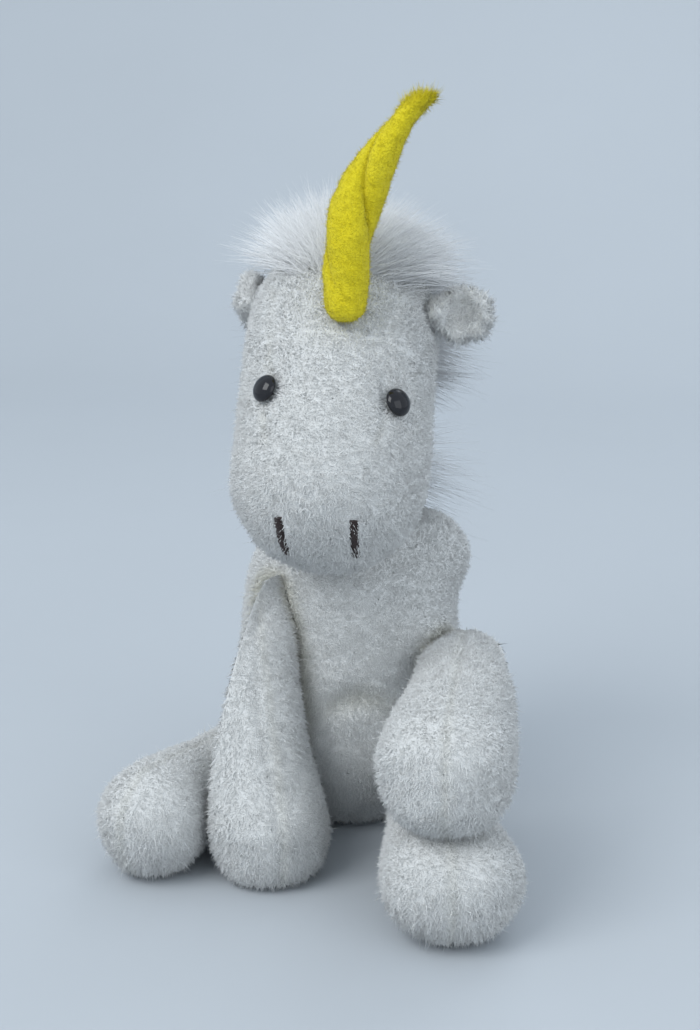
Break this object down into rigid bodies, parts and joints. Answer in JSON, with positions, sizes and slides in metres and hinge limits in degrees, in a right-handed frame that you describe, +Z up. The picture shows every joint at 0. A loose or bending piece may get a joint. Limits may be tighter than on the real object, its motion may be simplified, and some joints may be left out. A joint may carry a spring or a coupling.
{
  "type": "plush unicorn",
  "caption": "Sitting soft plush unicorn with floppy limbs, a turning and nodding head, folding ears and a twisted felt horn.",
  "frame": {"origin": "centre of the flat seat that the toy sits on", "axes": "+Z up, the toy faces -Y, its own left side is +X"},
  "size_m": [0.1027, 0.1525, 0.1869],
  "materials": {
    "plush_cover": "short white plush pile",
    "long_pile": "long white faux fur",
    "fibre_fill": "polyester fibre",
    "pellet_fill": "plastic pellets",
    "pouch_cloth": "thin woven cloth",
    "white_thread": "sewing thread",
    "dark_thread": "satin embroidery thread",
    "horn_felt": "brushed yellow felt",
    "eye_plastic": "polished black",
    "washer_plastic": "moulded white"
  },
  "bodies": {
    "torso": {"torso_cover": "plush_cover", "torso_stuffing": "fibre_fill", "pellet_pouch": "pouch_cloth", "seat_pellets": "pellet_fill", "closing_stitches": "white_thread"},
    "neck": {"neck_cover": "plush_cover", "neck_stuffing": "fibre_fill"},
    "head": {"head_cover": "plush_cover", "head_stuffing": "fibre_fill", "right_eye": "eye_plastic", "left_eye": "eye_plastic", "right_eye_washer": "washer_plastic", "left_eye_washer": "washer_plastic", "right_nostril": "dark_thread", "left_nostril": "dark_thread", "forelock": "long_pile", "mane": "long_pile"},
    "horn": {"horn": "horn_felt"},
    "right_ear": {"right_ear_front": "plush_cover", "right_ear_back": "plush_cover"},
    "left_ear": {"left_ear_front": "plush_cover", "left_ear_back": "plush_cover"},
    "right_foreleg": {"right_foreleg_cover": "plush_cover", "right_foreleg_stuffing": "fibre_fill", "right_paw_pellets": "pellet_fill"},
    "left_foreleg": {"left_foreleg_cover": "plush_cover", "left_foreleg_stuffing": "fibre_fill", "left_paw_pellets": "pellet_fill"},
    "right_hindleg": {"right_hindleg_cover": "plush_cover", "right_hindleg_stuffing": "fibre_fill", "right_foot_pellets": "pellet_fill"},
    "left_hindleg": {"left_hindleg_cover": "plush_cover", "left_hindleg_stuffing": "fibre_fill", "left_foot_pellets": "pellet_fill"},
    "tail": {"tail": "long_pile"}
  },
  "joints": [
    {"name": "neck_turn", "type": "hinge", "parent": "torso", "child": "neck", "pos_m": [0, -0.002, 0.09], "axis": [0, 0, 1], "range_deg": [-40, 40]},
    {"name": "head_nod", "type": "hinge", "parent": "neck", "child": "head", "pos_m": [0, -0.002, 0.09], "axis": [-1, 0, 0], "range_deg": [-10, 30]},
    {"name": "right_shoulder_swing", "type": "hinge", "parent": "torso", "child": "right_foreleg", "pos_m": [-0.0215, -0.024, 0.06], "axis": [-0.9336, -0.3584, 0], "range_deg": [0, 58]},
    {"name": "left_shoulder_swing", "type": "hinge", "parent": "torso", "child": "left_foreleg", "pos_m": [0.031, -0.02, 0.045], "axis": [-0.9997, -0.0262, 0], "range_deg": [0, 20]},
    {"name": "right_hip_splay", "type": "hinge", "parent": "torso", "child": "right_hindleg", "pos_m": [-0.02729, -0.01109, 0.014], "axis": [0, 0, -1], "range_deg": [0, 50]},
    {"name": "left_hip_splay", "type": "hinge", "parent": "torso", "child": "left_hindleg", "pos_m": [0.02486, -0.03242, 0.014], "axis": [0, 0, 1], "range_deg": [0, 50]},
    {"name": "right_ear_fold", "type": "hinge", "parent": "head", "child": "right_ear", "pos_m": [-0.025, -0.006, 0.1345], "axis": [0, 0, 1], "range_deg": [-2, 70], "stiffness_Nm_per_rad": 0.002},
    {"name": "left_ear_fold", "type": "hinge", "parent": "head", "child": "left_ear", "pos_m": [0.024, -0.017, 0.1345], "axis": [0, 0, 1], "range_deg": [-40, 40], "stiffness_Nm_per_rad": 0.002},
    {"name": "horn_bend", "type": "hinge", "parent": "head", "child": "horn", "pos_m": [0.0042, -0.0374, 0.1395], "axis": [0, 1, 0], "range_deg": [-25, 25], "stiffness_Nm_per_rad": 0.01},
    {"name": "tail_swing", "type": "hinge", "parent": "torso", "child": "tail", "pos_m": [0, 0.0355, 0.02], "axis": [0, 0, 1], "range_deg": [-35, 35], "stiffness_Nm_per_rad": 0.003}
  ]
}
